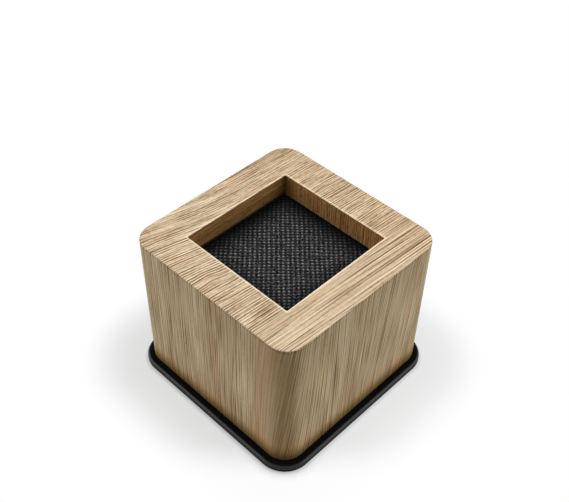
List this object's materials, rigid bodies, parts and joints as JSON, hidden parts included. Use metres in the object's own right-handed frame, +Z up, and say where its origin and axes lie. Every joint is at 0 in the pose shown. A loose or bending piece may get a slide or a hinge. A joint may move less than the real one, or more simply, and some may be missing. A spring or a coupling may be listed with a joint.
{
  "type": "bed riser",
  "caption": "Square hardwood bed riser with rounded corners, a recess in the top with a textured non-slip pad for the bed leg, and a black rubber foot that stands proud of the block.",
  "frame": {"origin": "middle of the underside of the rubber foot, where the riser stands on the floor", "axes": "+Z up through the middle of the recess; +X and +Y square to the block's sides, with the top face's grain along Y"},
  "size_m": [0.1072, 0.1072, 0.0835],
  "materials": {
    "pale_wood": "matt oiled, open grain",
    "textured_rubber": "matt, diamond stud texture",
    "foot_rubber": "satin moulded rubber"
  },
  "bodies": {
    "root": {"wood_block": "pale_wood", "recess_pad": "textured_rubber", "foot_pad": "foot_rubber"}
  },
  "joints": []
}
